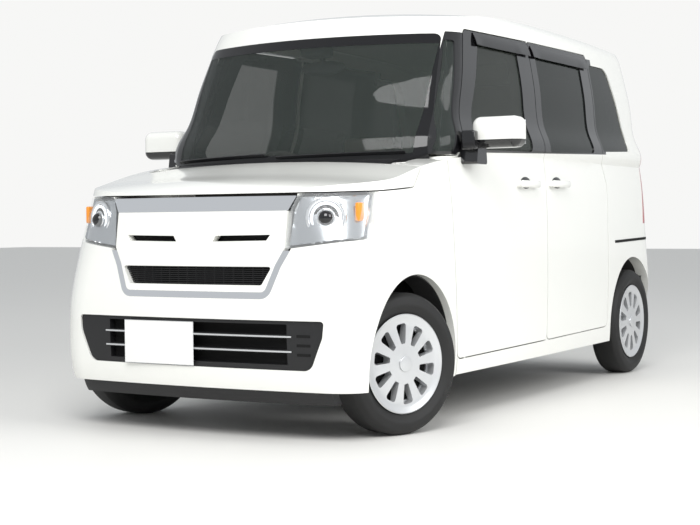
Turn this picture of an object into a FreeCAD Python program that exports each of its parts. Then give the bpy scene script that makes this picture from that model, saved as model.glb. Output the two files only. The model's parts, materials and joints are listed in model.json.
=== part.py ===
"""Kei car: a tall, boxy four-seat hatchback with two hinged front doors and two sliding rear doors.

Millimetres. +Z is up, -Y is forward and +X is the car's left. The origin is on the ground under the
middle of the car's length. The outer skin is two lofts, a lower body and a greenhouse, under a bonnet
and a roof surface. Every panel is the space between the skin and the same skin moved inward, cut to
the panel's outline with a shut gap to its neighbour.
"""
import FreeCAD
import Part
import math
import os

V = FreeCAD.Vector
X_AXIS = V(1, 0, 0)
Y_AXIS = V(0, 1, 0)
Z_AXIS = V(0, 0, 1)

# Overall sizes
LENGTH = 3395.0
HALF_WIDTH = 737.5
HEIGHT = 1790.0
WHEELBASE = 2520.0
FRONT_OVERHANG = 480.0
TRACK = 1305.0
FRONT_END = -LENGTH / 2
REAR_END = LENGTH / 2
FRONT_AXLE = FRONT_END + FRONT_OVERHANG
REAR_AXLE = FRONT_AXLE + WHEELBASE

# Wheels
TYRE_RADIUS = 276.0
TYRE_WIDTH = 155.0
RIM_RADIUS = 192.0
ARCH_RADIUS = 345.0
AXLE_HEIGHT = TYRE_RADIUS
KINGPIN_FOOT = (565.0, 0.0, 160.0)
KINGPIN_TOP = (515.0, 18.0, 780.0)
PARKED_STEER = 20.0
HUB_RADIUS = 33.0
BALL_PIN = 14.0
PLATE_WIDTH = 330.0
PLATE_HEIGHT = 165.0
PLATE_THICK = 2.0

# Walls and gaps
DOOR_WALL = 60.0
DOOR_SHELL = 20.0
DOOR_STEP = 15.0
SIDE_WALL = 60.0
LID_WALL = 28.0
PANEL_WALL = 30.0
GLASS = 5.0
SHUT_GAP = 5.0
SEAT_GAP = 0.3
RUNNING = 0.05
BELT_FRONT = 1100.0
BELT_REAR = 1175.0
SILL_TOP = 262.0
SILL_BOTTOM = 195.0
BONNET_LINE_FRONT = 932.0
BONNET_LINE_REAR = 965.0

REACH = 1000.0


def level(z, half, front, rear, corner, bow, taper_front, taper_rear, corner_rear, bow_rear):
    """One height of the skin: where its plan outline reaches, and how round its corners are."""
    return dict(z=z, half=half, front=front, rear=rear, corner=corner, bow=bow, taper_front=taper_front,
                taper_rear=taper_rear, corner_rear=corner_rear, bow_rear=bow_rear)


# Lower body, from the bumper's underside to above the window line
LOWER_LEVELS = [
    level(120, 690, FRONT_END + 70, REAR_END - 70, 130, 30, 14, 20, 120, 20),
    level(200, 722, FRONT_END + 22, REAR_END - 22, 140, 28, 12, 18, 120, 20),
    level(330, 732, FRONT_END + 4, REAR_END - 5, 150, 27, 12, 18, 120, 20),
    level(460, 736, FRONT_END, REAR_END, 165, 28, 12, 18, 120, 20),
    level(600, HALF_WIDTH, FRONT_END + 9, REAR_END - 14, 190, 32, 13, 18, 125, 22),
    level(760, HALF_WIDTH, FRONT_END + 24, REAR_END - 34, 235, 38, 15, 20, 130, 25),
    level(900, 735, FRONT_END + 34, REAR_END - 48, 280, 44, 17, 20, 130, 27),
    level(1040, 727, FRONT_END + 48, REAR_END - 58, 310, 50, 19, 22, 130, 28),
    level(1200, 706, FRONT_END + 70, REAR_END - 72, 320, 55, 20, 24, 130, 30),
]
# Greenhouse: its front is the windscreen and its corners are the quarter windows
UPPER_LEVELS = [
    level(980, 722, -1160, REAR_END - 66, 190, 112, 12, 20, 130, 28),
    level(1100, 715, -1103, REAR_END - 70, 190, 108, 12, 20, 130, 28),
    level(1250, 700, -1030, REAR_END - 84, 186, 102, 12, 20, 130, 28),
    level(1400, 681, -956, REAR_END - 102, 182, 96, 12, 20, 130, 28),
    level(1550, 659, -880, REAR_END - 125, 178, 88, 12, 20, 130, 30),
    level(1650, 641, -828, REAR_END - 148, 174, 82, 12, 20, 130, 30),
    level(1700, 628, -797, REAR_END - 164, 172, 80, 12, 20, 130, 30),
    level(1740, 600, -756, REAR_END - 186, 168, 76, 12, 20, 130, 30),
    level(1775, 552, -700, REAR_END - 222, 160, 70, 12, 20, 130, 30),
    level(1810, 485, -620, REAR_END - 270, 150, 60, 12, 20, 120, 30),
]
# Height of the middle of the roof and of the bonnet along the car
ROOF_LINE = [(-1150, 1560), (-850, 1688), (-500, 1752), (0, 1787), (150, HEIGHT), (700, 1786), (1250, 1768),
             (REAR_END - 60, 1742)]
BONNET_LINE = [(FRONT_END - 60, 880), (FRONT_END + 30, 938), (FRONT_END + 110, 975), (-1400, 1015),
               (-1200, 1062), (-1000, 1098), (-800, 1120), (-600, 1136), (0, 1165),
               (600, 1191), (1200, 1214), (REAR_END + 60, 1225)]
ROOF_CROWN = 62.0
BONNET_CROWN = 34.0


def curve(*poles):
    bezier = Part.BezierCurve()
    bezier.setPoles([V(*p) for p in poles])
    return bezier.toShape()


def plan_outline(s, t):
    """Closed outline of the skin at one level, moved inward by t."""
    z = s["z"]
    front, rear = s["front"] + t, s["rear"] - t
    half = s["half"] - t
    half_front, half_rear = half - s["taper_front"], half - s["taper_rear"]
    corner, corner_rear = max(s["corner"] - 0.4 * t, 40), max(s["corner_rear"] - 0.4 * t, 30)
    nose_x = half_front - corner
    nose_y = front + s["bow"]
    side_y = nose_y + corner
    tail_x, tail_y = half_rear - corner_rear, rear - s["bow_rear"]
    back_y = tail_y - corner_rear
    middle = (side_y + back_y) / 2

    def half_edges(m):
        def at(x, y):
            return (m * x, y, z)
        nose_pull = 0.55 * corner
        tail_pull = 0.55 * corner_rear
        nose_dir = V(nose_x / 2, s["bow"], 0).normalize()
        side_dir = V(half - half_front, middle - side_y, 0).normalize()
        tail_dir = V(-tail_x / 2, s["bow_rear"], 0).normalize()
        back_dir = V(half_rear - half, back_y - middle, 0).normalize()
        return [
            curve(at(0, front), at(nose_x / 2, front), at(nose_x, nose_y)),
            curve(at(nose_x, nose_y), at(nose_x + nose_pull * nose_dir.x, nose_y + nose_pull * nose_dir.y),
                  at(half_front - nose_pull * side_dir.x, side_y - nose_pull * side_dir.y), at(half_front, side_y)),
            curve(at(half_front, side_y), at(half, (side_y + middle) / 2), at(half, middle)),
            curve(at(half, middle), at(half, (back_y + middle) / 2), at(half_rear, back_y)),
            curve(at(half_rear, back_y), at(half_rear + tail_pull * back_dir.x, back_y + tail_pull * back_dir.y),
                  at(tail_x - tail_pull * tail_dir.x, tail_y - tail_pull * tail_dir.y), at(tail_x, tail_y)),
            curve(at(tail_x, tail_y), at(tail_x / 2, rear), at(0, rear)),
        ]

    left = half_edges(1)
    right = half_edges(-1)
    return Part.Wire(left + list(reversed(right)))


def crowned_slab(line, crown, t, floor):
    """Solid under a surface that follows a lengthwise line and falls away to both sides."""
    spine = Part.BSplineCurve()
    spine.interpolate([V(0, y, z - t) for y, z in line])
    steps = 40
    rows = []
    for i in range(steps + 1):
        p = spine.value(spine.FirstParameter + (spine.LastParameter - spine.FirstParameter) * i / steps)
        rows.append([V(x * REACH, p.y, p.z - crown * (x * REACH / HALF_WIDTH) ** 2) for x in (-1, -0.5, 0, 0.5, 1)])
    top = Part.BSplineSurface()
    top.interpolate(rows)
    return top.toShape().extrude(V(0, 0, floor - HEIGHT))


class Skin:
    """The whole body as one solid, its skin moved inward by t, kept as a lower and an upper half."""

    made = {}

    def __init__(self, t):
        lower = Part.makeLoft([plan_outline(s, t) for s in LOWER_LEVELS], True, False)
        upper = Part.makeLoft([plan_outline(s, t) for s in UPPER_LEVELS], True, False)
        self.lower = lower.common(crowned_slab(BONNET_LINE, BONNET_CROWN, t, 0))
        self.upper = upper.common(crowned_slab(ROOF_LINE, ROOF_CROWN, t, 800))

    @classmethod
    def at(cls, t):
        if t not in cls.made:
            cls.made[t] = cls(t)
        return cls.made[t]

    def within(self, region):
        """The part of the body inside a region."""
        return self.lower.common(region).fuse(self.upper.common(region))

    def carve(self, solid):
        return solid.cut(self.lower).cut(self.upper)


def panel(region, wall, outside=0.0):
    """A panel: the skin inside a region, down to the wall's thickness."""
    return Skin.at(outside + wall).carve(Skin.at(outside).within(region))


def rounded(points, to3d):
    """Closed wire through corner points (u, v, radius), each corner an arc."""
    edges = []
    ends = []
    n = len(points)
    for i, (u, v, r) in enumerate(points):
        here = V(u, v, 0)
        back = (V(*points[i - 1][:2], 0) - here).normalize()
        ahead = (V(*points[(i + 1) % n][:2], 0) - here).normalize()
        half_turn = back.getAngle(ahead) / 2
        if r <= 0:
            ends.append((here, here))
            continue
        run = r / math.tan(half_turn)
        start, end = here + back * run, here + ahead * run
        inner = (back + ahead).normalize()
        middle = here + inner * (r / math.sin(half_turn) - r)
        edges.append(Part.Arc(to3d(start), to3d(middle), to3d(end)).toShape())
        ends.append((start, end))
    for i in range(n):
        start, end = ends[i][1], ends[(i + 1) % n][0]
        if (end - start).Length > 1e-6:
            edges.append(Part.makeLine(to3d(start), to3d(end)))
    return Part.Wire(Part.__sortEdges__(edges))


def side_prism(points, x_from=0.0, x_to=REACH):
    """Region with an outline in the side view, given as (y, z, radius)."""
    face = Part.Face(rounded(points, lambda p: V(x_from, p.x, p.y)))
    return face.extrude(V(x_to - x_from, 0, 0))


def front_prism(points, y_from, y_to):
    """Region with an outline in the front view, given as (x, z, radius)."""
    face = Part.Face(rounded(points, lambda p: V(p.x, y_from, p.y)))
    return face.extrude(V(0, y_to - y_from, 0))


def plan_prism(points, z_from, z_to):
    """Region with an outline seen from above, given as (x, y, radius)."""
    face = Part.Face(rounded(points, lambda p: V(p.x, p.y, z_from)))
    return face.extrude(V(0, 0, z_to - z_from))


def box(x0, x1, y0, y1, z0, z1):
    return Part.makeBox(x1 - x0, y1 - y0, z1 - z0, V(x0, y0, z0))


def rod(a, b, radius):
    a, b = V(*a), V(*b)
    return Part.makeCylinder(radius, (b - a).Length, a, b - a)


def grow(points, by):
    """The outline (u, v, radius) moved outward by an equal distance; corners run anticlockwise or clockwise."""
    n = len(points)
    area = sum(points[i - 1][0] * points[i][1] - points[i][0] * points[i - 1][1] for i in range(n))
    turn = 1 if area > 0 else -1
    result = []
    for i, (u, v, r) in enumerate(points):
        here = V(u, v, 0)
        into = (here - V(*points[i - 1][:2], 0)).normalize()
        out = (V(*points[(i + 1) % n][:2], 0) - here).normalize()
        n1 = V(into.y, -into.x, 0) * turn
        n2 = V(out.y, -out.x, 0) * turn
        shift = (n1 + n2) * (by / (1 + n1.dot(n2)))
        result.append((u + shift.x, v + shift.y, max(r + by, 0) if r else 0))
    return result


def other_side(shape):
    return shape.mirror(V(0, 0, 0), X_AXIS)


# Hinges: places of the axes, and radii of the pins
DOOR_PIVOT = (718.0, -775.0)
DOOR_PIN = 5.0
BONNET_PIVOT = (-1080.0, 1056.0)
BONNET_PIN = 5.0
TAILGATE_PIVOT = (1490.0, 1764.0)
TAILGATE_PIN = 3.5

# Side outlines, as (y, z, corner radius)
FENDER_EDGE_TOP = -909.0
FENDER_EDGE_FOOT = -852.0
DOOR_GAP_Y = 85.0
SLIDING_REAR = 905.0
FRONT_DOOR = [(FENDER_EDGE_FOOT, SILL_TOP, 30), (FENDER_EDGE_TOP, 1090, 12), (-798, 1096, 12), (-583, 1642, 30),
              (DOOR_GAP_Y - 8, 1652, 12), (DOOR_GAP_Y, SILL_TOP + 8, 25)]
FRONT_WINDOW = [(-690, 1126, 25), (-462, 1598, 30), (-62, 1606, 20), (-60, 1136, 20)]
SLIDING_DOOR = [(DOOR_GAP_Y + SHUT_GAP, SILL_TOP + 8, 25), (DOOR_GAP_Y - 8 + SHUT_GAP, 1652, 12), (838, 1658, 30),
                (846, 1130, 50), (SLIDING_REAR, 1000, 60), (SLIDING_REAR, SILL_TOP + 16, 40)]
SLIDING_WINDOW = [(150, 1140, 20), (148, 1606, 20), (722, 1612, 30), (732, 1158, 25)]
REAR_QUARTER = [(862, 1168, 20), (860, 1614, 25), (1130, 1616, 110), (1312, 1250, 70), (1290, 1184, 30)]
FRONT_QUARTER = [(-925, 1112, 12), (-838, 1112, 15), (-655, 1590, 12), (-700, 1590, 12)]
WINDSCREEN = [(-640, 1066, 15), (-585, 1618, 30), (585, 1618, 30), (640, 1066, 15)]
TAILGATE = [(-612, 470, 40), (-618, 1150, 60), (-590, 1655, 30), (-585, 2000, 0), (585, 2000, 0), (590, 1655, 30),
            (618, 1150, 60), (612, 470, 40)]
REAR_WINDOW = [(-545, 1165, 60), (-520, 1600, 60), (520, 1600, 60), (545, 1165, 60)]
TAILGATE_FRONT = REAR_END - 205
ROOF_SEAM = 592.0
BUMPER_JOIN = -1490.0
REAR_BUMPER_JOIN = 1555.0
LAMP = [(403, 728, 12), (416, 880, 12), (440, 934, 12), (REACH, 962, 0), (REACH, 800, 0), (650, 758, 0)]
LAMP_REAR = [(-1440, 1000, 0), (-1448, 942, 10), (-1508, 772, 20), (-1560, 600, 0), (-1800, 600, 0), (-1800, 1000, 0)]
GRILLE_PANEL = [(-326, 566, 25), (-366, 670, 20), (-402, 735, 8), (-402, 872, 4), (402, 872, 4), (402, 735, 8),
                (366, 670, 20), (326, 566, 25)]
CHROME_BAR = [(-404, 872.3, 3), (-434, 928, 3), (434, 928, 3), (404, 872.3, 3)]
LOWER_GRILLE = [(-520, 276, 45), (-572, 400, 40), (-578, 462, 14), (578, 462, 14), (572, 400, 40), (520, 276, 45)]
BONNET_REAR = -1135.0
BONNET_SIDE = [(FRONT_END - 100, 934, 0), (-1445, 946, 0), (-1215, 962, 30), (BONNET_REAR, 1050, 20),
               (BONNET_REAR, 1500, 0), (FRONT_END - 100, 1500, 0)]
COWL_HALF = 540.0
FENDER_INNER = 600.0


def arch_cutters():
    """Wheel arch openings through the body sides."""
    return [rod((380, y, AXLE_HEIGHT), (REACH, y, AXLE_HEIGHT), ARCH_RADIUS) for y in (FRONT_AXLE, REAR_AXLE)]


def door(outline, window):
    """A door: an outer shell to the shut gap and an inner box that stands back from it."""
    shell = panel(side_prism(outline, 300), DOOR_SHELL)
    inner = panel(side_prism(grow(outline, -DOOR_STEP), 300), DOOR_WALL)
    bore = rod((DOOR_PIVOT[0], DOOR_PIVOT[1], 0), (DOOR_PIVOT[0], DOOR_PIVOT[1], SILL_TOP + 27), DOOR_PIN + RUNNING)
    return shell.fuse(inner).cut(side_prism(window, 300)).cut(bore)


def side_panes():
    """Quarter windows and the sliding door's pane."""
    panes = []
    for outline in (FRONT_QUARTER, SLIDING_WINDOW, REAR_QUARTER):
        panes.append(panel(side_prism(grow(outline, -SEAT_GAP), 300), GLASS, 6))
    return Part.makeCompound(panes)


def bonnet():
    region = side_prism(BONNET_SIDE, -REACH, REACH)
    solid = panel(region, LID_WALL).cut(box(-REACH, REACH, -3000, 0, 0, 925))
    y, z = BONNET_PIVOT
    for m in (-1, 1):
        strap = side_prism([(-1190, 995, 0), (-1190, 1040, 0), (-1150, 1040, 0), (y + 10, z + 10, 8), (y + 10, z - 12, 8),
                            (-1140, 995, 0)], m * 564 - 9, m * 564 + 9)
        hole = rod((m * 564 - 20, y, z), (m * 564 + 20, y, z), BONNET_PIN + RUNNING)
        solid = solid.fuse(strap).cut(hole)
    return solid


def cowl():
    """Scuttle panel between the bonnet and the windscreen."""
    region = box(-COWL_HALF + 0.3, COWL_HALF - 0.3, BONNET_REAR + SHUT_GAP, -800, 900, 1300)
    return Skin.at(0).lower.common(region).cut(Skin.at(LID_WALL).lower).cut(Skin.at(-SEAT_GAP).upper)


def fender():
    gap = SHUT_GAP
    region = side_prism([(BUMPER_JOIN + SEAT_GAP, 300, 0), (BUMPER_JOIN + SEAT_GAP, 760, 0), (-1445 + gap, 946 - gap, 0),
                         (-1213, 962 - gap, 30), (BONNET_REAR + gap, 1044, 20), (BONNET_REAR + gap, 1200, 0), (-950, 1200, 0), (-950, 1094, 0),
                         (FENDER_EDGE_TOP - gap, 1094, 0), (FENDER_EDGE_FOOT - gap, SILL_TOP, 0),
                         (FENDER_EDGE_FOOT - gap, 190, 0), (-1100, 190, 0)], FENDER_INNER)
    solid = panel(region, PANEL_WALL)
    solid = solid.cut(side_prism(grow(LAMP_REAR, SEAT_GAP), 300)).cut(arch_cutters()[0])
    y, z = BONNET_PIVOT
    lug = box(577, FENDER_INNER + 12, y - 12, y + 12, z - 18, z + 7)
    pin = rod((556, y, z), (590, y, z), BONNET_PIN)
    return solid.cut(Skin.at(-SHUT_GAP).upper).fuse([lug.cut(Skin.at(-SHUT_GAP).upper), pin])


def body_side():
    """Sill, pillars, roof rail and rear quarter of one side."""
    gap = SHUT_GAP
    region = side_prism([(FENDER_EDGE_FOOT, SILL_BOTTOM, 0), (FENDER_EDGE_FOOT, 1100, 0), (-1150, 1100, 0),
                         (-1150, 2000, 0), (REAR_END, 2000, 0), (REAR_END, 700, 0), (REAR_BUMPER_JOIN, 700, 0),
                         (REAR_BUMPER_JOIN, SILL_BOTTOM, 0)], 300)
    solid = panel(region, SIDE_WALL)
    for outline in (FRONT_DOOR, SLIDING_DOOR):
        solid = solid.cut(side_prism(grow(outline, gap), 300))
    flange = side_prism(grow(SLIDING_DOOR, gap + 1), 300).cut(side_prism(grow(SLIDING_DOOR, SEAT_GAP - DOOR_STEP), 300))
    solid = solid.fuse(panel(flange, SIDE_WALL - DOOR_SHELL - SEAT_GAP, DOOR_SHELL + SEAT_GAP))
    for outline in (FRONT_QUARTER, REAR_QUARTER):
        solid = solid.cut(side_prism(outline, 300))
    solid = solid.cut(front_prism(WINDSCREEN, -1300, -500))
    solid = solid.cut(plan_prism([(0, -1300, 0), (ROOF_SEAM, -1300, 0), (ROOF_SEAM, REAR_END, 0),
                                  (0, REAR_END, 0)], 1500, 1900))
    solid = solid.cut(front_prism(grow(TAILGATE, gap), TAILGATE_FRONT - gap, 2000))
    solid = solid.cut(box(0, ROOF_SEAM, -1300, REAR_END, 0, 1500))
    for cutter in arch_cutters():
        solid = solid.cut(cutter)
    pin = rod((DOOR_PIVOT[0], DOOR_PIVOT[1], SILL_TOP - 30), (DOOR_PIVOT[0], DOOR_PIVOT[1], SILL_TOP + 26), DOOR_PIN)
    return solid.cut(tail_lamp_region(0)).fuse(pin)


def tail_lamp_region(gap):
    return front_prism(grow([(622, 800, 14), (625, 1290, 20), (REACH, 1290, 0), (REACH, 800, 0)], gap), 1490, 2000)


def tail_lamp():
    return panel(tail_lamp_region(-SEAT_GAP), 45)


def roof_panel():
    seam = ROOF_SEAM - SEAT_GAP
    region = plan_prism([(-seam, -1100, 0), (seam, -1100, 0), (seam, TAILGATE_FRONT - SHUT_GAP, 0),
                         (-seam, TAILGATE_FRONT - SHUT_GAP, 0)], 1500, 1900)
    solid = panel(region, PANEL_WALL).cut(front_prism(WINDSCREEN, -1300, -500))
    solid = solid.cut(side_prism(FRONT_QUARTER, -REACH, REACH))
    y, z = TAILGATE_PIVOT
    for m in (-1, 1):
        lug = box(m * 146 - 6, m * 146 + 6, y - 26, y + 6, z - 6, z + 6).fuse(
            box(m * 146 - 6, m * 146 + 6, y - 26, y - 8, z - 30, z - 6))
        solid = solid.fuse([lug, rod((m * 140, y, z), (m * 166, y, z), TAILGATE_PIN)])
    return solid


def tailgate_lugs():
    y, z = TAILGATE_PIVOT
    lugs = []
    for m in (-1, 1):
        lug = box(m * 159 - 6, m * 159 + 6, y - 6, y + 34, z - 6, z + 6).fuse(
            box(m * 159 - 6, m * 159 + 6, y + 8, y + 34, z - 34, z - 6))
        lugs.append(lug.cut(rod((m * 100, y, z), (m * 200, y, z), TAILGATE_PIN + RUNNING)))
    return lugs


def tailgate():
    solid = panel(front_prism(TAILGATE, TAILGATE_FRONT, 2000), DOOR_WALL)
    return solid.cut(front_prism(REAR_WINDOW, 1200, 2000)).cut(box(-REACH, REACH, 1000, 2000, 0, 470)).fuse(tailgate_lugs())


def tailgate_glass():
    return panel(front_prism(grow(REAR_WINDOW, -SEAT_GAP), TAILGATE_FRONT, 2000), GLASS, 6)


def windscreen():
    region = front_prism(grow(WINDSCREEN, -SEAT_GAP), -1300, -500)
    return Skin.at(0).upper.common(region).cut(Skin.at(GLASS).upper)


def front_bumper():
    region = box(-REACH, REACH, FRONT_END - 50, BUMPER_JOIN, 195, 940)
    solid = panel(region, 34)
    for cutter in (grow(GRILLE_PANEL, 25 + SEAT_GAP), grow(CHROME_BAR, SEAT_GAP), LOWER_GRILLE):
        solid = solid.cut(front_prism(cutter, -2000, -1300))
    lamp = front_prism(grow(LAMP, SEAT_GAP), -2000, -1300).common(side_prism(grow(LAMP_REAR, SEAT_GAP), 0))
    for cutter in arch_cutters() + [lamp]:
        solid = solid.cut(cutter).cut(other_side(cutter))
    return solid.cut(side_prism(grow(BONNET_SIDE, SHUT_GAP), -REACH, REACH)).cut(box(-436, 436, -2000, -1300, 860, 1000))


def rear_bumper():
    region = box(-REACH, REACH, REAR_BUMPER_JOIN + SEAT_GAP, REAR_END + 50, 215, 697)
    solid = panel(region, 34).cut(front_prism(grow(TAILGATE, SHUT_GAP), 1200, 2000))
    arch = arch_cutters()[1]
    return solid.cut(arch).cut(other_side(arch))


def headlamp():
    region = front_prism(LAMP, -2000, -1300).common(side_prism(LAMP_REAR, 0))
    return panel(region, 70).cut(side_prism(grow(BONNET_SIDE, SHUT_GAP), -REACH, REACH))


def grille_panel():
    solid = panel(front_prism(GRILLE_PANEL, -2000, -1300), 34)
    for m in (-1, 1):
        slot = [(m * 86, 757, 0), (m * 100, 779, 0), (m * 338, 782, 0), (m * 322, 760, 0)]
        solid = solid.cut(front_prism(slot, -2000, -1300))
    mouth = [(-312, 592, 12), (-352, 662, 8), (352, 662, 8), (312, 592, 12)]
    return solid.cut(front_prism(mouth, -2000, -1300))


def chrome_trim():
    bar = panel(front_prism(CHROME_BAR, -2000, -1300), 30)
    ring = front_prism(grow(GRILLE_PANEL, 25), -2000, -1300).cut(front_prism(grow(GRILLE_PANEL, SEAT_GAP), -2000, -1300))
    surround = panel(ring.common(box(-REACH, REACH, -2000, 0, 500, 722)), 30)
    return Part.makeCompound([bar, surround])


def lower_grille():
    solid = panel(front_prism(grow(LOWER_GRILLE, -SEAT_GAP), -2000, -1300), 30, 8)
    for z0, z1 in ((296, 340), (352, 396), (408, 448)):
        solid = solid.cut(front_prism([(-420, z0, 4), (-420, z1, 4), (420, z1, 4), (420, z0, 4)], -2000, -1300))
    return solid


def front_lip():
    return panel(box(-REACH, REACH, FRONT_END, -1560, 145, 194.7), 40, 6).common(box(-590, 590, -2000, 0, 140, 200))


def front_plate(grille):
    """Blank number plate, set to the car's right, with its two feet on the lower grille."""
    x, z = -160, 364
    plate = box(x - PLATE_WIDTH / 2, x + PLATE_WIDTH / 2, FRONT_END, FRONT_END + PLATE_THICK,
                z - PLATE_HEIGHT / 2, z + PLATE_HEIGHT / 2)
    feet = [box(x + m * 100 - 20, x + m * 100 + 20, FRONT_END + 1, FRONT_END + 24, z + 33, z + 43) for m in (-1, 1)]
    return plate.fuse([foot.cut(grille) for foot in feet]).Solids


def rear_plate():
    y = REAR_END - 10
    plate = box(-PLATE_WIDTH / 2, PLATE_WIDTH / 2, y - PLATE_THICK, y, 640, 640 + PLATE_HEIGHT)
    feet = [box(m * 100 - 20, m * 100 + 20, y - 40, y - 1, 700, 730) for m in (-1, 1)]
    return plate.fuse([Skin.at(0).carve(foot) for foot in feet])


def revolved_x(points, closed=True):
    """Solid of revolution about the X axis from (x, r) points joined by straight lines."""
    wire = Part.makePolygon([V(x, 0, r) for x, r in points] + [V(points[0][0], 0, points[0][1])])
    return Part.Face(wire).revolve(V(0, 0, 0), X_AXIS, 360)


def tyre():
    """Tyre carcass; its bead seats on the rim."""
    half = TYRE_WIDTH / 2
    top = TYRE_RADIUS
    bead = RIM_RADIUS - 12
    profile = [(-50, bead), (-half, bead + 48), (-half + 7, top - 16), (-half + 28, top), (half - 28, top),
               (half - 7, top - 16), (half, bead + 48), (50, bead)]
    return revolved_x(profile)


def wheel_disc():
    """Pressed steel wheel and its ten-spoke cover, outer face towards +X."""
    barrel = revolved_x([(-60, 168), (-66, 190), (-62, 190), (-56, RIM_RADIUS - 12 - SEAT_GAP),
                         (56, RIM_RADIUS - 12 - SEAT_GAP), (61, 186), (64, 190), (66, 186), (58, 168), (44, 150),
                         (-44, 150)])
    hollow = revolved_x([(-80, 0), (-80, 160), (-46, 143), (20, 143), (30, 60), (30, 0)])
    cover = revolved_x([(20, 0), (20, 60), (30, 143), (40, 170), (62, 190), (65, 194), (68, 190), (60, 160), (62, 60),
                        (64, 0)])
    solid = barrel.cut(hollow).fuse(cover)
    hole = side_prism([(-14, 76, 6), (-40, 152, 12), (14, 160, 12), (6, 80, 5)], 20, 90)
    for i in range(10):
        turned = hole.copy()
        turned.rotate(V(0, 0, 0), X_AXIS, 36 * i)
        solid = solid.cut(turned)
    return solid.fuse(rod((-20, 0, 0), (40, 0, 0), 60)).cut(rod((-60, 0, 0), (-14, 0, 0), HUB_RADIUS + RUNNING))


def kingpin(side):
    """Foot and direction of the axis that a front wheel steers about."""
    foot = V(side * KINGPIN_FOOT[0], FRONT_AXLE + KINGPIN_FOOT[1], KINGPIN_FOOT[2])
    top = V(side * KINGPIN_TOP[0], FRONT_AXLE + KINGPIN_TOP[1], KINGPIN_TOP[2])
    return foot, (top - foot).normalize()


def steered(shape, side, angle=-PARKED_STEER):
    foot, up = kingpin(side)
    shape = shape.copy()
    shape.rotate(foot, up, angle)
    return shape


def knuckle(side):
    """Hub carrier with its strut, built straight ahead and then steered."""
    foot, up = kingpin(side)
    y, z = FRONT_AXLE, AXLE_HEIGHT
    low, high = (side * 545, y, 330), (side * 512, y + 14, 750)
    along = (V(*high) - V(*low)).normalize()
    seat = V(*low) + along * 240
    strut = rod(low, high, 22)
    coil = Part.makeCylinder(58, 150, seat, along).cut(Part.makeCylinder(45, 150, seat, along))
    plate = Part.makeCylinder(62, 6, seat - along * 6, along)
    upright = box(min(side * 525, side * 572), max(side * 525, side * 572), y - 32, y + 32, 215, 420)
    ball = Part.makeSphere(20, foot).fuse(Part.makeCylinder(BALL_PIN, 34, foot - up * 34, up))
    stem = rod(tuple(foot), (side * 560, y, 225), 16)
    hub = rod((side * 550, y, z), (side * (TRACK / 2 - 15), y, z), HUB_RADIUS)
    shield = rod((side * 572, y, z), (side * 582, y, z), 118)
    return steered(upright.fuse([strut, coil, plate, ball, stem, hub, shield]), side)


def place_wheel(shape, side, y):
    """A wheel made about the origin, its outer face to the left, put on its hub."""
    shape = shape.copy()
    if side < 0:
        shape.rotate(V(0, 0, 0), Z_AXIS, 180)
    shape.translate(V(side * TRACK / 2, y, AXLE_HEIGHT))
    return shape


def subframe():
    """Front cross member with its lower arms, each ending in an eye under the hub carrier."""
    cross = box(-425, 425, FRONT_AXLE - 60, FRONT_AXLE + 120, 170, 225)
    pieces = []
    for side in (-1, 1):
        foot, up = kingpin(side)
        eye_foot = foot - up * 33
        pieces.append(rod((side * 400, FRONT_AXLE + 60, 195), tuple(foot - up * 26 - X_AXIS * side * 18), 9))
        pieces.append(Part.makeCylinder(26, 12, eye_foot, up))
        pieces.append(box(side * 385 - 30, side * 385 + 30, FRONT_AXLE - 40, FRONT_AXLE + 60, 225, 300 - SEAT_GAP))
    solid = cross.fuse(pieces)
    for side in (-1, 1):
        foot, up = kingpin(side)
        solid = solid.cut(Part.makeCylinder(BALL_PIN + RUNNING, 60, foot - up * 60, up))
        solid = solid.cut(Part.makeSphere(20 + 1, foot))
    return solid


def rear_axle():
    """Twist beam with its trailing arms, hubs and dampers."""
    beam = box(-560, 560, REAR_AXLE - 250, REAR_AXLE - 190, 235, 295)
    pieces = []
    for side in (-1, 1):
        x = side * 530
        pieces.append(box(x - 30, x + 30, REAR_AXLE - 385, REAR_AXLE + 40, 240, 310))
        pieces.append(box(x - 30, x + 30, REAR_AXLE - 385, REAR_AXLE - 340, 310, REAR_FLOOR - SEAT_GAP))
        pieces.append(rod((side * 520, REAR_AXLE, AXLE_HEIGHT), (side * (TRACK / 2 - 15), REAR_AXLE, AXLE_HEIGHT), HUB_RADIUS))
        pieces.append(rod((side * 570, REAR_AXLE, AXLE_HEIGHT), (side * 582, REAR_AXLE, AXLE_HEIGHT), 118))
        pieces.append(rod((x, REAR_AXLE + 20, 300), (x - side * 10, REAR_AXLE + 20, 600), 22))
    return beam.fuse(pieces)


FLOOR = 232.0
REAR_FLOOR = 390.0
FLOOR_WALL = 30.0
FLOOR_STEP = 870.0


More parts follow.
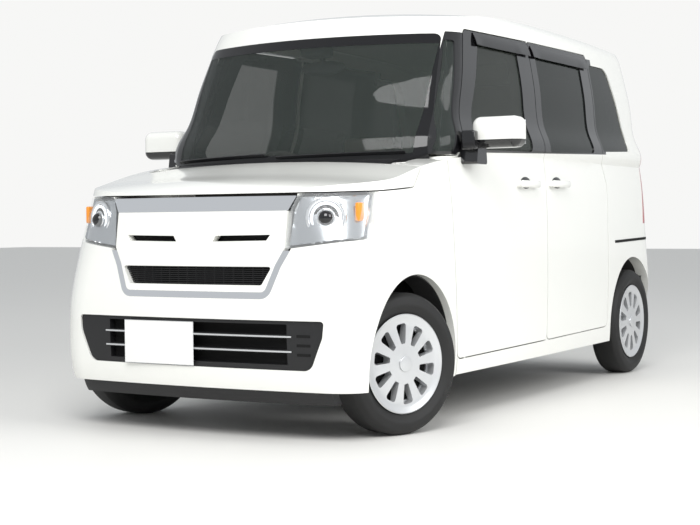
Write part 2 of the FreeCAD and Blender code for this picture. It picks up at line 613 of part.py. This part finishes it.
def floor_pan():
    """Floor, firewall, front rails and the rear wheel wells."""
    wide = box(-REACH, REACH, -900, FLOOR_STEP + FLOOR_WALL, FLOOR, FLOOR + FLOOR_WALL)
    riser = box(-REACH, REACH, FLOOR_STEP, FLOOR_STEP + FLOOR_WALL, FLOOR, REAR_FLOOR)
    rear = box(-REACH, REACH, FLOOR_STEP, 1560, REAR_FLOOR, REAR_FLOOR + FLOOR_WALL)
    firewall = box(-REACH, REACH, -930, -900, FLOOR, 940)
    aprons = [box(m * 645 - 45, m * 645 + 45, -1430, -900, 890, 930) for m in (-1, 1)]
    rails = [box(m * 385 - 35, m * 385 + 35, -1600, -900, 300, 380) for m in (-1, 1)]
    inside = Skin.at(SIDE_WALL + SEAT_GAP)
    front_inside = Skin.at(PANEL_WALL + SEAT_GAP)
    solid = inside.lower.common(wide.fuse([riser, rear]))
    front = front_inside.lower.common(firewall.fuse(aprons))
    solid = solid.fuse([front.cut(box(-REACH, REACH, FENDER_EDGE_FOOT - 10, 2000, 0, 2000))] + rails)
    wells = []
    for m in (-1, 1):
        ends = sorted((m * 440, m * REACH))
        hole = rod((ends[0], REAR_AXLE, AXLE_HEIGHT), (ends[1], REAR_AXLE, AXLE_HEIGHT), ARCH_RADIUS)
        ends = sorted((m * 430, m * REACH))
        shell = rod((ends[0], REAR_AXLE, AXLE_HEIGHT), (ends[1], REAR_AXLE, AXLE_HEIGHT), ARCH_RADIUS + 8)
        shell = shell.common(box(-REACH, REACH, 0, 3000, FLOOR + 150, 1000))
        wells.append(inside.lower.common(shell.cut(hole)))
        solid = solid.cut(hole)
        ends = sorted((m * 440, m * REACH))
        solid = solid.cut(rod((ends[0], FRONT_AXLE, AXLE_HEIGHT), (ends[1], FRONT_AXLE, AXLE_HEIGHT), ARCH_RADIUS))
    solid = solid.fuse(wells)
    for m in (-1, 1):
        solid = solid.cut(rod((m * 520, REAR_AXLE + 20, 300), (m * 520, REAR_AXLE + 20, 601), 24))
    return solid


def arch_liners():
    """Black linings inside the front wheel arches."""
    shell = rod((604, FRONT_AXLE, AXLE_HEIGHT), (REACH, FRONT_AXLE, AXLE_HEIGHT), ARCH_RADIUS)
    shell = shell.cut(rod((600, FRONT_AXLE, AXLE_HEIGHT), (REACH, FRONT_AXLE, AXLE_HEIGHT), ARCH_RADIUS - 5))
    shell = shell.common(box(0, REACH, FRONT_AXLE - 300, FRONT_AXLE + 300, 360, 1000))
    side = Skin.at(PANEL_WALL + SEAT_GAP).lower.common(shell)
    hanger = Skin.at(PANEL_WALL + SEAT_GAP).lower.common(
        box(640, REACH, FRONT_AXLE - 20, FRONT_AXLE + 20, AXLE_HEIGHT + ARCH_RADIUS - 4, 890 - SEAT_GAP))
    side = side.fuse(hanger)
    return Part.makeCompound([side, other_side(side)])


def dashboard():
    back = -900 + SEAT_GAP
    profile = side_prism([(back, 640, 20), (back, 1012, 30), (-640, 975, 60), (-560, 850, 60), (-700, 640, 30)], -555, 555)
    centre, tilt = steering_axis()
    return profile.cut(Part.makeCylinder(COLUMN_RADIUS + RUNNING, 200, centre - tilt * 200, tilt))


def seat(x, y, width, back_height, base_end):
    cushion = box(x - width / 2, x + width / 2, y - 250, y + 250, 425, 560)
    back = side_prism([(y + 170, 520, 20), (y + 270, back_height, 40), (y + 370, back_height, 40), (y + 300, 520, 20)],
                      x - width / 2, x + width / 2)
    rest = side_prism([(y + 285, back_height + 20, 20), (y + 300, back_height + 190, 30), (y + 380, back_height + 190, 30),
                       (y + 370, back_height + 20, 20)], x - 120, x + 120)
    stalks = [rod((x + m * 60, y + 325, back_height - 10), (x + m * 60, y + 325, back_height + 60), 7) for m in (-1, 1)]
    base = box(x - width / 2 + 40, x + width / 2 - 40, y - 220, base_end, FLOOR + FLOOR_WALL + SEAT_GAP, 430)
    return cushion.fuse([back, rest, base] + stalks)


def mirror():
    """Door mirror on its foot, which stands on the door's shoulder."""
    head = box(745, 962, -762, -655, 1126, 1256)
    head = head.makeFillet(36, head.Edges)
    foot = side_prism([(-790, 1060, 10), (-775, 1150, 10), (-700, 1150, 10), (-690, 1060, 10)], 640, 790)
    return head.fuse(Skin.at(SEAT_GAP * -1).carve(foot))


COLUMN_RADIUS = 22.0


def steering_axis():
    return V(-330, -470, 985), V(0, math.cos(math.radians(28)), math.sin(math.radians(28)))


def steering_wheel():
    centre, tilt = steering_axis()
    rim = Part.makeTorus(178, 15, centre, tilt)
    hub = Part.makeCylinder(55, 45, centre - tilt * 40, tilt)
    column = Part.makeCylinder(COLUMN_RADIUS, 130, centre - tilt * 165, tilt)
    spokes = [rod(tuple(centre - tilt * 15), tuple(centre - tilt * 2 + d * 170), 12)
              for d in (X_AXIS, X_AXIS * -1, tilt.cross(X_AXIS) * -1)]
    return rim.fuse([hub, column] + spokes)


def build():
    parts = {}

    def both(name, shape):
        parts[name + "_left"] = shape
        parts[name + "_right"] = other_side(shape)

    parts["bonnet"] = bonnet()
    parts["cowl"] = cowl()
    both("fender", fender())
    both("body_side", body_side())
    both("front_door", door(FRONT_DOOR, FRONT_WINDOW))
    both("front_door_glass", panel(side_prism(grow(FRONT_WINDOW, -SEAT_GAP), 300), GLASS, 6))
    both("sliding_door", door(SLIDING_DOOR, SLIDING_WINDOW))
    both("side_glass", side_panes())
    both("mirror", mirror())
    both("headlamp", headlamp())
    both("tail_lamp", tail_lamp())
    parts["roof_panel"] = roof_panel()
    parts["windscreen"] = windscreen()
    parts["tailgate"] = tailgate()
    parts["tailgate_glass"] = tailgate_glass()
    parts["front_bumper"] = front_bumper()
    parts["rear_bumper"] = rear_bumper()
    parts["grille_panel"] = grille_panel()
    parts["chrome_trim"] = chrome_trim()
    parts["lower_grille"] = lower_grille()
    parts["front_plate"] = Part.makeCompound(front_plate(parts["lower_grille"])[:1])
    parts["rear_plate"] = rear_plate()
    parts["front_lip"] = front_lip()
    parts["arch_liners"] = arch_liners()
    tyre_shape, disc_shape = tyre(), wheel_disc()
    for end, y in (("front", FRONT_AXLE), ("rear", REAR_AXLE)):
        for label, side in (("left", 1), ("right", -1)):
            for kind, shape in (("tyre", tyre_shape), ("wheel", disc_shape)):
                placed = place_wheel(shape, side, y)
                if end == "front":
                    placed = steered(placed, side)
                parts["%s_%s_%s" % (kind, end, label)] = placed
    parts["knuckle_left"] = knuckle(1)
    parts["knuckle_right"] = knuckle(-1)
    parts["subframe"] = subframe()
    parts["rear_axle"] = rear_axle()
    parts["floor_pan"] = floor_pan()
    parts["engine"] = box(-320, 320, -1450, -1010, 225 + SEAT_GAP, 760)
    parts["radiator"] = box(-350 + SEAT_GAP, 350 - SEAT_GAP, -1600, -1565, 260, 700)
    parts["dashboard"] = dashboard()
    parts["steering_wheel"] = steering_wheel()
    parts["front_seats"] = Part.makeCompound([seat(x, -60, 520, 1060, 160) for x in (-320, 320)])
    parts["rear_seats"] = Part.makeCompound([seat(x, 860, 412, 1060, 860) for x in (-214, 214)])
    return parts


def main():
    os.makedirs("parts", exist_ok=True)
    for name, shape in build().items():
        solids = shape.Solids
        print("%-24s %2d solids %4d faces valid %s volume %.1f l" % (
            name, len(solids), len(shape.Faces), shape.isValid(), shape.Volume / 1e6))
        shape.exportStep("parts/%s.step" % name)


main()
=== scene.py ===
import bpy
import json
import math
from mathutils import Vector, Matrix
from mathutils.bvhtree import BVHTree

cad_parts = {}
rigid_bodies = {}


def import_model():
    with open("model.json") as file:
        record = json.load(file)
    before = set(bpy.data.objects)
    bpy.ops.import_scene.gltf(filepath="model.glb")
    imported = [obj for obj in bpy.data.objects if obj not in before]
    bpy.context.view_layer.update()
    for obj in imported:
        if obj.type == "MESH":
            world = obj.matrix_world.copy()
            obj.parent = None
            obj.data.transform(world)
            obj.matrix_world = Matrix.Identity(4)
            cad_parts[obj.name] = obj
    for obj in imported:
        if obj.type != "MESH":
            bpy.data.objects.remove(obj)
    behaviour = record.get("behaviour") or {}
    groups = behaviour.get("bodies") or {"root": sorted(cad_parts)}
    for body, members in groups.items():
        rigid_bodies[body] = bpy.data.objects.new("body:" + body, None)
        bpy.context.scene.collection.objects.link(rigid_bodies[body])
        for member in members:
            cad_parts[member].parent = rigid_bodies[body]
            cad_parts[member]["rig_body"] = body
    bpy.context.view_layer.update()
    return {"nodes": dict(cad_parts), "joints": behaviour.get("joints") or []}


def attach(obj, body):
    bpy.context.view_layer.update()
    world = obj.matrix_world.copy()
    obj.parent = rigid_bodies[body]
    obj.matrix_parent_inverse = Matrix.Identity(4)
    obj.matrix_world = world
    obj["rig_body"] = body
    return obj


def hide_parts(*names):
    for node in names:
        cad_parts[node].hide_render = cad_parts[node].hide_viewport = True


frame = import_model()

NODES = frame["nodes"]


def deselect():
    for o in bpy.context.selected_objects:
        o.select_set(False)


def only(o):
    deselect()
    o.select_set(True)
    bpy.context.view_layer.objects.active = o


def principled(name, colour, rough=0.5, metal=0.0, coat=0.0, alpha=1.0, glow=0.0, ior=1.45):
    m = bpy.data.materials.new(name)
    m.use_nodes = True
    b = m.node_tree.nodes["Principled BSDF"]
    b.inputs["Base Color"].default_value = (*colour, 1)
    b.inputs["Roughness"].default_value = rough
    b.inputs["Metallic"].default_value = metal
    b.inputs["Coat Weight"].default_value = coat
    b.inputs["Coat Roughness"].default_value = 0.03
    b.inputs["Alpha"].default_value = alpha
    b.inputs["IOR"].default_value = ior
    if glow:
        b.inputs["Emission Color"].default_value = (*colour, 1)
        b.inputs["Emission Strength"].default_value = glow
    return m


def math_node(tree, operation, a, b):
    n = tree.nodes.new("ShaderNodeMath")
    n.operation = operation
    for socket, value in zip(n.inputs, (a, b)):
        if isinstance(value, (int, float)):
            socket.default_value = value
        else:
            tree.links.new(value, socket)
    return n.outputs[0]


def patch(m, colour, boxes, rough=0.12, alpha=None):
    """Paints patches of another colour, each a box (x0, x1, y0, y1, z0, z1, rise) in the row frame. x is taken as its distance from the middle, and rise tilts the patch's lower and upper edges along the car."""
    tree = m.node_tree
    b = tree.nodes["Principled BSDF"]
    where = tree.nodes.new("ShaderNodeTexCoord")
    split = tree.nodes.new("ShaderNodeSeparateXYZ")
    tree.links.new(where.outputs["Object"], split.inputs[0])
    x = math_node(tree, "ABSOLUTE", split.outputs[0], 0)
    y, z = split.outputs[1], split.outputs[2]
    total = 0.0
    for x0, x1, y0, y1, z0, z1, rise in boxes:
        lean = math_node(tree, "SUBTRACT", z, math_node(tree, "MULTIPLY", y, rise))
        mask = 1.0
        for value, low, high in ((x, x0, x1), (y, y0, y1), (lean, z0, z1)):
            mask = math_node(tree, "MULTIPLY", mask, math_node(tree, "GREATER_THAN", value, low))
            mask = math_node(tree, "MULTIPLY", mask, math_node(tree, "LESS_THAN", value, high))
        total = math_node(tree, "MAXIMUM", total, mask)
    for socket, value in (("Base Color", (*colour, 1)), ("Roughness", rough), ("Alpha", alpha)):
        if value is None:
            continue
        old = b.inputs[socket].default_value
        if socket == "Base Color":
            mix = tree.nodes.new("ShaderNodeMix")
            mix.data_type = "RGBA"
            mix.inputs["A"].default_value = tuple(old)
            mix.inputs["B"].default_value = value
            tree.links.new(total, mix.inputs["Factor"])
            tree.links.new(mix.outputs["Result"], b.inputs[socket])
        else:
            mixed = math_node(tree, "ADD", old, math_node(tree, "MULTIPLY", total, value - old))
            tree.links.new(mixed, b.inputs[socket])
    return m


def grain(m, scale, strength):
    tree = m.node_tree
    where = tree.nodes.new("ShaderNodeTexCoord")
    noise = tree.nodes.new("ShaderNodeTexNoise")
    noise.inputs["Scale"].default_value = scale
    bump = tree.nodes.new("ShaderNodeBump")
    bump.inputs["Strength"].default_value = strength
    bump.inputs["Distance"].default_value = 0.002
    tree.links.new(where.outputs["Object"], noise.inputs["Vector"])
    tree.links.new(noise.outputs["Fac"], bump.inputs["Height"])
    tree.links.new(bump.outputs["Normal"], tree.nodes["Principled BSDF"].inputs["Normal"])
    return m


PAINT = (0.84, 0.84, 0.80)
BLACK = (0.006, 0.006, 0.007)
paint = principled("white_paint", PAINT, 0.22, coat=0.8)
BAND = (0, 2, -0.92, 0.93, 1.131, 1.9, 0.027)
door_paint = patch(principled("door_paint", PAINT, 0.22, coat=0.8), BLACK, [BAND])
side_paint = patch(principled("side_paint", PAINT, 0.22, coat=0.8), BLACK,
                   [(0, 2, -1.2, -0.45, 1.10, 1.628, 0), (0, 2, 0.80, 0.90, 1.131, 1.62, 0.027)])
white_gloss = principled("white_gloss", PAINT, 0.15, coat=0.6)
gloss_black = principled("gloss_black", BLACK, 0.08, coat=0.5)
plastic = grain(principled("black_plastic", (0.012, 0.012, 0.013), 0.45), 900, 0.15)
# Near-black: the radiator's and lamp dishes' own dark colour, and painted shade where it fills grille openings,
# slots, the door rail groove and the wheel pockets.
black_and_shade = principled("deep_black", (0.003, 0.003, 0.003), 0.9)
chrome = principled("bright_chrome", (0.82, 0.83, 0.85), 0.07, metal=1.0)
silver = principled("wheel_paint", (0.62, 0.63, 0.64), 0.28, metal=0.55, coat=0.3)
rubber = grain(principled("rubber", (0.012, 0.012, 0.012), 0.62), 500, 0.1)
steel = principled("painted_steel", (0.03, 0.03, 0.03), 0.5, metal=0.4)
screen = patch(principled("screen_glass", (0.05, 0.06, 0.055), 0.02, alpha=0.30), BLACK,
               [(0, 2, -2, 2, 1.575, 2, 0), (0.585, 2, -2, 2, 1, 2, 0), (0, 2, -2, 2, 0.9, 1.105, 0)], 0.05, 1.0)
dark_glass = patch(principled("side_pane", (0.012, 0.015, 0.013), 0.02, alpha=0.86), (0.05, 0.06, 0.055),
                   [(0, 2, -2, -0.5, 1, 2, 0)], 0.02, 0.35)
door_glass = principled("door_pane", (0.03, 0.035, 0.03), 0.02, alpha=0.62)
lens = principled("clear_lens", (0.9, 0.92, 0.93), 0.02, alpha=0.16)
bowl = principled("lamp_bowl", (0.42, 0.44, 0.46), 0.2, metal=0.9)
lamp_white = principled("lamp_ring", (0.9, 0.93, 0.97), 0.2, glow=0.6)
red = principled("red_lens", (0.42, 0.006, 0.008), 0.08, coat=0.8)
amber = principled("amber_lens", (0.85, 0.30, 0.03), 0.15, coat=0.5)
cabin = grain(principled("cabin_trim", (0.06, 0.055, 0.05), 0.6), 300, 0.2)
fabric = grain(principled("seat_cloth", (0.36, 0.33, 0.29), 0.9), 700, 0.5)
plate_white = principled("plate_white", (0.82, 0.82, 0.80), 0.35)
mirror_face = principled("mirror_face", (0.75, 0.77, 0.78), 0.02, metal=1.0)
mirror_paint = patch(principled("mirror_paint", PAINT, 0.22, coat=0.8), BLACK, [(0, 2, -2, 2, 0, 1.160, 0)])
cast = principled("cast_metal", (0.12, 0.12, 0.12), 0.55, metal=0.6)
floor_black = principled("under_paint", (0.02, 0.02, 0.02), 0.6)
visor = principled("smoked_visor", (0.008, 0.008, 0.009), 0.05, alpha=0.9, coat=0.5)

LOOKS = {
    "bonnet": (paint, 30), "fender": (paint, 30), "body_side": (side_paint, 30), "front_door": (door_paint, 30),
    "front_door_glass": (door_glass, 30), "sliding_door": (door_paint, 30), "side_glass": (dark_glass, 30),
    "mirror": (mirror_paint, 40), "headlamp": (lens, 30), "tail_lamp": (red, 30), "roof_panel": (paint, 30),
    "windscreen": (screen, 30), "tailgate": (paint, 30), "tailgate_glass": (dark_glass, 30), "cowl": (plastic, 30),
    "front_bumper": (paint, 30), "rear_bumper": (paint, 30), "grille_panel": (white_gloss, 30),
    "chrome_trim": (chrome, 30), "lower_grille": (plastic, 30), "front_plate": (plate_white, 30),
    "rear_plate": (plate_white, 30), "front_lip": (plastic, 30), "arch_liners": (plastic, 30),
    "tyre_front": (rubber, 40), "tyre_rear": (rubber, 40), "wheel_front": (silver, 30), "wheel_rear": (silver, 30),
    "knuckle": (steel, 30), "subframe": (steel, 30), "rear_axle": (steel, 30), "floor_pan": (floor_black, 30),
    "engine": (cast, 30), "radiator": (black_and_shade, 30), "dashboard": (cabin, 40), "steering_wheel": (cabin, 40),
    "front_seats": (fabric, 40), "rear_seats": (fabric, 40),
}


def look_for(node):
    return LOOKS[node.replace("_left", "").replace("_right", "")]


def merged(node, name):
    """A copy of a CAD node with its doubles merged."""
    o = bpy.data.objects.new(name, NODES[node].data.copy())
    bpy.context.scene.collection.objects.link(o)
    only(o)
    bpy.ops.mesh.customdata_custom_splitnormals_clear()
    bpy.ops.object.mode_set(mode="EDIT")
    bpy.ops.mesh.select_all(action="SELECT")
    bpy.ops.mesh.remove_doubles(threshold=0.00002)
    bpy.ops.object.mode_set(mode="OBJECT")
    return o


def paint_with(o, m):
    o.data.materials.clear()
    o.data.materials.append(m)
    for polygon in o.data.polygons:
        polygon.material_index = 0


def apply_all(o):
    only(o)
    for modifier in list(o.modifiers):
        bpy.ops.object.modifier_apply(modifier=modifier.name)


def bevel(o, width, segments=3, angle=30):
    m = o.modifiers.new("bevel", "BEVEL")
    m.width = width
    m.segments = segments
    m.limit_method = "ANGLE"
    m.angle_limit = math.radians(angle)
    m.use_clamp_overlap = True
    apply_all(o)


looks = {}
for node in sorted(NODES):
    m, angle = look_for(node)
    o = merged(node, "look_" + node)
    if "seats" in node or "tyre" in node:
        only(o)
        bpy.ops.object.mode_set(mode="EDIT")
        bpy.ops.mesh.select_all(action="SELECT")
        bpy.ops.mesh.tris_convert_to_quads()
        bpy.ops.object.mode_set(mode="OBJECT")
        bevel(o, 0.03 if "seats" in node else 0.007, 4, 25)
    paint_with(o, m)
    only(o)
    bpy.ops.object.shade_smooth_by_angle(angle=math.radians(angle))
    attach(o, NODES[node]["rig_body"])
    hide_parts(node)
    looks[node] = o

depsgraph = bpy.context.evaluated_depsgraph_get()
trees = {}


def skin_point(nodes, origin, direction):
    """Where a ray first meets some CAD nodes, and the surface's direction there."""
    best = None
    for node in nodes:
        if node not in trees:
            trees[node] = BVHTree.FromObject(looks[node], depsgraph)
        place, normal, index, distance = trees[node].ray_cast(Vector(origin), Vector(direction).normalized())
        if place is not None and (best is None or distance < best[2]):
            best = (place, normal, distance)
    return best


def place(o, name, m, body, smooth=35):
    o.name = name
    paint_with(o, m)
    only(o)
    bpy.ops.object.transform_apply(location=True, rotation=True, scale=True)
    bpy.ops.object.shade_smooth_by_angle(angle=math.radians(smooth))
    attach(o, body)
    return o


def block(name, x0, x1, y0, y1, z0, z1, m, body="body", soft=0.0):
    deselect()
    bpy.ops.mesh.primitive_cube_add(size=1, location=((x0 + x1) / 2, (y0 + y1) / 2, (z0 + z1) / 2))
    o = bpy.context.object
    o.scale = (x1 - x0, y1 - y0, z1 - z0)
    bpy.ops.object.transform_apply(location=True, rotation=True, scale=True)
    if soft:
        bevel(o, soft)
    return place(o, name, m, body)


def turned(normal):
    return Vector((0, 0, 1)).rotation_difference(Vector(normal)).to_euler()


def disc(name, centre, normal, radius, depth, m, body="body", soft=0.0, steps=48):
    deselect()
    bpy.ops.mesh.primitive_cylinder_add(vertices=steps, radius=radius, depth=depth)
    o = bpy.context.object
    if soft:
        bevel(o, soft)
    o.rotation_euler = turned(normal)
    o.location = centre
    return place(o, name, m, body)


def ring(name, centre, normal, major, minor, m, body="body"):
    deselect()
    bpy.ops.mesh.primitive_torus_add(major_radius=major, minor_radius=minor, major_segments=64, minor_segments=16)
    o = bpy.context.object
    o.rotation_euler = turned(normal)
    o.location = centre
    return place(o, name, m, body)


def ball(name, centre, radii, m, body="body", turn=(0, 0, 0)):
    deselect()
    bpy.ops.mesh.primitive_uv_sphere_add(segments=40, ring_count=24, radius=1, location=centre, rotation=turn)
    o = bpy.context.object
    o.scale = radii
    return place(o, name, m, body)


def strip(name, rows, thick, m, body="body"):
    """A bent strip through rows of points, thickened."""
    across, along = len(rows[0]), len(rows)
    deselect()
    bpy.ops.mesh.primitive_grid_add(x_subdivisions=across - 1, y_subdivisions=along - 1, size=1)
    o = bpy.context.object
    for j, row in enumerate(rows):
        for i, point in enumerate(row):
            o.data.vertices[j * across + i].co = point
    only(o)
    bpy.ops.object.mode_set(mode="EDIT")
    bpy.ops.mesh.select_all(action="SELECT")
    bpy.ops.mesh.normals_make_consistent(inside=False)
    bpy.ops.object.mode_set(mode="OBJECT")
    shell = o.modifiers.new("shell", "SOLIDIFY")
    shell.thickness = thick
    shell.offset = 0
    apply_all(o)
    o.location = (0, 0, 0)
    return place(o, name, m, body)


FRONT = ["front_bumper", "grille_panel", "lower_grille", "chrome_trim", "headlamp_left", "headlamp_right"]
for side, label in ((1, "left"), (-1, "right")):
    lamp = "headlamp_" + label
    inner = merged(lamp, "lamp_bowl_" + label)
    shrink = inner.modifiers.new("shrink", "DISPLACE")
    shrink.strength = -0.016
    shrink.mid_level = 0
    apply_all(inner)
    paint_with(inner, bowl)
    only(inner)
    bpy.ops.object.shade_smooth_by_angle(angle=math.radians(30))
    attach(inner, "body")
    spot, normal, far = skin_point([lamp], (side * 0.548, -3, 0.849), (0, 1, 0))
    facing = Vector((side * 0.38, -0.92, 0.03)).normalized()
    centre = spot - normal * 0.022 + facing * 0.0
    disc("lamp_dish_" + label, centre - facing * 0.004, facing, 0.074, 0.012, black_and_shade)
    ring("lamp_bezel_" + label, centre, facing, 0.071, 0.008, chrome)
    ring("lamp_glow_" + label, centre + facing * 0.003, facing, 0.055, 0.006, lamp_white)
    disc("lamp_barrel_" + label, centre + facing * 0.004, facing, 0.037, 0.014, chrome, soft=0.004)
    ball("lamp_projector_" + label, centre + facing * 0.004, (0.031, 0.031, 0.031), gloss_black)
    spot, normal, far = skin_point([lamp], (side * 3, -1.505, 0.86), (-side, 0, 0))
    block("lamp_amber_" + label, spot.x - 0.03 if side > 0 else spot.x + 0.012, spot.x - 0.012 if side > 0 else spot.x + 0.03,
          -1.535, -1.490, 0.83, 0.90, amber, soft=0.006)

# Near-black sheets behind the grille mesh and the lower grille openings are painted shade.
block("grille_back", -0.375, 0.375, -1.624, -1.616, 0.585, 0.862, black_and_shade)
block("lower_back", -0.46, 0.46, -1.640, -1.634, 0.285, 0.455, black_and_shade)
for i in range(9):
    z = 0.5965 + 0.0078 * i
    rows = []
    half = 0.318 + 0.034 * i / 8
    for k in range(13):
        x = -half + 2 * half * k / 12
        y = -1.672 + 0.028 * (x / 0.4) ** 2
        rows.append([(x, y, z), (x, y + 0.012, z)])
    strip("mesh_bar_%d" % i, rows, 0.003, plastic)
for i in range(15):
    x = -0.30 + 0.60 * i / 14
    y = -1.664 + 0.028 * (x / 0.4) ** 2
    block("mesh_post_%d" % i, x - 0.0015, x + 0.0015, y, y + 0.006, 0.594, 0.660, plastic)
for i, z in enumerate((0.346, 0.402)):
    rows = []
    for k in range(25):
        x = -0.44 + 0.88 * k / 24
        spot, normal, far = skin_point(["lower_grille"], (x, -3, z), (0, 1, 0))
        rows.append([(x, spot.y - 0.003, z - 0.003), (x, spot.y - 0.003, z + 0.003)])
    strip("lower_rib_%d" % i, rows, 0.002, silver)
# Near-black strips on the lower grille's ends are painted shade inside its slots.
for i in range(3):
    z = 0.335 + 0.035 * i
    rows = []
    for k in range(5):
        x = 0.462 + 0.055 * k / 4
        spot, normal, far = skin_point(["lower_grille"], (x, -3, z), (0, 1, 0))
        rows.append([(x, spot.y - 0.001, z - 0.005), (x, spot.y - 0.001, z + 0.005)])
    strip("lower_slot_%d" % i, rows, 0.002, black_and_shade)
block("plate_frame", -0.3275, 0.0075, -1.6955, -1.693, 0.279, 0.449, chrome)

for side, label in ((1, "left"), (-1, "right")):
    front = "front_door_" + label
    slide = "sliding_door_" + label
    wall = [front, slide, "body_side_" + label, "fender_" + label]
    for name, y0, y1, z, body in (("front_handle_", -0.250, -0.045, 0.988, front), ("slide_handle_", 0.115, 0.320, 0.994, "body")):
        spot, normal, far = skin_point(wall, (side * 3, (y0 + y1) / 2, z), (-side, 0, 0))
        x = spot.x
        ball(name + "cup_" + label, (x - side * 0.006, (y0 + y1) / 2, z), (0.009, 0.075, 0.036), gloss_black, body)
        x0, x1 = sorted((x + side * 0.014, x + side * 0.034))
        block(name + "bar_" + label, x0, x1, y0, y1, z - 0.016, z + 0.016, paint, body, soft=0.0095)
        for k, y in enumerate((y0 + 0.014, y1 - 0.022)):
            x0, x1 = sorted((x - side * 0.004, x + side * 0.022))
            block(name + "foot_%d_" % k + label, x0, x1, y - 0.012, y + 0.014, z - 0.014, z + 0.014, paint, body, soft=0.006)
    # The near-black strip along the quarter panel is the sliding door's rail slot, its black painted shade in the
    # groove.
    rows = []
    for k in range(21):
        y = 1.016 + 0.529 * k / 20
        z = 0.708 + 0.010 * k / 20
        spot, normal, far = skin_point(["body_side_" + label, "tail_lamp_" + label], (side * 3, y, z), (-side, 0, 0))
        rows.append([spot + normal * 0.001 + Vector((0, 0, -0.007)), spot + normal * 0.001 + Vector((0, 0, 0.007))])
    strip("door_rail_" + label, rows, 0.002, black_and_shade)
    for name, y0, y1, nodes, body in (("front_visor_", -0.50, 0.066, [front], front), ("slide_visor_", 0.104, 0.815, [slide], "body")):
        rows = []
        for k in range(21):
            y = y0 + (y1 - y0) * k / 20
            top, bottom = 1.638, 1.586
            row = []
            for z, out in ((top, 0.002), ((top + bottom) / 2, 0.010), (bottom, 0.014)):
                spot, normal, far = skin_point(nodes + ["front_door_glass_" + label, "side_glass_" + label, "body_side_" + label], (side * 3, y, z), (-side, 0, 0))
                row.append(spot + Vector((side * out, 0, 0)))
            rows.append(row)
        strip(name + label, rows, 0.003, visor, body)
    x0, x1 = sorted((side * 0.760, side * 0.948))
    block("mirror_face_" + label, x0, x1, -0.656, -0.652, 1.142, 1.242, mirror_face, front, soft=0.001)

block("near_view_mirror", 0.728, 0.790, -0.815, -0.775, 1.118, 1.198, gloss_black, "front_door_left", soft=0.008)

for name, x0, x1 in (("wiper_near", 0.02, 0.56), ("wiper_far", -0.58, -0.04)):
    rows = []
    for k in range(25):
        x = x0 + (x1 - x0) * k / 24
        z = 1.098 + 0.012 * k / 24
        spot, normal, far = skin_point(["windscreen"], (x, -3, z), (0, 1, 0))
        rows.append([(x, spot.y - 0.010, z - 0.006), (x, spot.y - 0.018, z + 0.004)])
    strip(name, rows, 0.006, plastic)
block("camera_box", -0.06, 0.06, -0.80, -0.70, 1.545, 1.610, plastic, soft=0.015)
ball("inside_mirror", (0, -0.70, 1.505), (0.115, 0.012, 0.032), plastic)
block("inside_mirror_stem", -0.008, 0.008, -0.71, -0.69, 1.52, 1.58, plastic)

for node in sorted(NODES):
    if not node.startswith("wheel_"):
        continue
    joint = next(j for j in frame["joints"] if j["child"] == node)
    centre, axis = Vector(joint["pos_m"]), Vector(joint["axis"])
    out = axis if (axis.x > 0) == (centre.x > 0) else -axis
    # The near-black disc behind the wheel's pockets is painted shade.
    disc("wheel_shade_" + node, centre + out * 0.012, out, 0.150, 0.004, black_and_shade, node)
    disc("wheel_cap_" + node, centre + out * 0.0655, out, 0.030, 0.006, silver, node, soft=0.002)

deselect()
bpy.ops.mesh.primitive_plane_add(size=60, location=(0, 0, 0))
floor = bpy.context.object
floor.name = "floor"
floor_look = principled("pale_floor", (0.78, 0.77, 0.74), 0.55)
paint_with(floor, floor_look)

world = bpy.data.worlds.new("soft_light")
bpy.context.scene.world = world
world.use_nodes = True
tree = world.node_tree
background = tree.nodes["Background"]
path = tree.nodes.new("ShaderNodeLightPath")
mix = tree.nodes.new("ShaderNodeMix")
mix.data_type = "RGBA"
mix.inputs["A"].default_value = (0.62, 0.64, 0.66, 1)
mix.inputs["B"].default_value = (0.93, 0.93, 0.92, 1)
tree.links.new(path.outputs["Is Camera Ray"], mix.inputs["Factor"])
tree.links.new(mix.outputs["Result"], background.inputs["Color"])
background.inputs["Strength"].default_value = 1.0


def soft_light(name, where, target, size, power):
    data = bpy.data.lights.new(name, "AREA")
    data.size = size
    data.energy = power
    o = bpy.data.objects.new(name, data)
    bpy.context.scene.collection.objects.link(o)
    o.location = where
    o.rotation_euler = (Vector(target) - Vector(where)).to_track_quat("-Z", "Y").to_euler()


soft_light("key", (2.5, -6.0, 5.5), (0, -0.5, 0.8), 4.0, 420)
soft_light("fill", (7.0, -1.0, 4.0), (0, 0, 0.8), 4.0, 260)

azimuth, elevation, roll = 0.526, -0.030, -0.009
forward = Vector((-math.sin(azimuth) * math.cos(elevation), math.cos(azimuth) * math.cos(elevation), math.sin(elevation)))
right = Vector((math.cos(azimuth), math.sin(azimuth), 0))
up = right.cross(forward)
right_rolled = right * math.cos(roll) + up * math.sin(roll)
up_rolled = up * math.cos(roll) - right * math.sin(roll)
camera_data = bpy.data.cameras.new("camera")
camera_data.sensor_width = 36
camera_data.lens = 75.26
camera = bpy.data.objects.new("camera", camera_data)
bpy.context.scene.collection.objects.link(camera)
turn = Matrix((right_rolled, up_rolled, -forward)).transposed()
camera.matrix_world = Matrix.Translation((3.356, -6.256, 0.840)) @ turn.to_4x4()
bpy.context.scene.camera = camera
bpy.context.scene.view_settings.view_transform = "Standard"
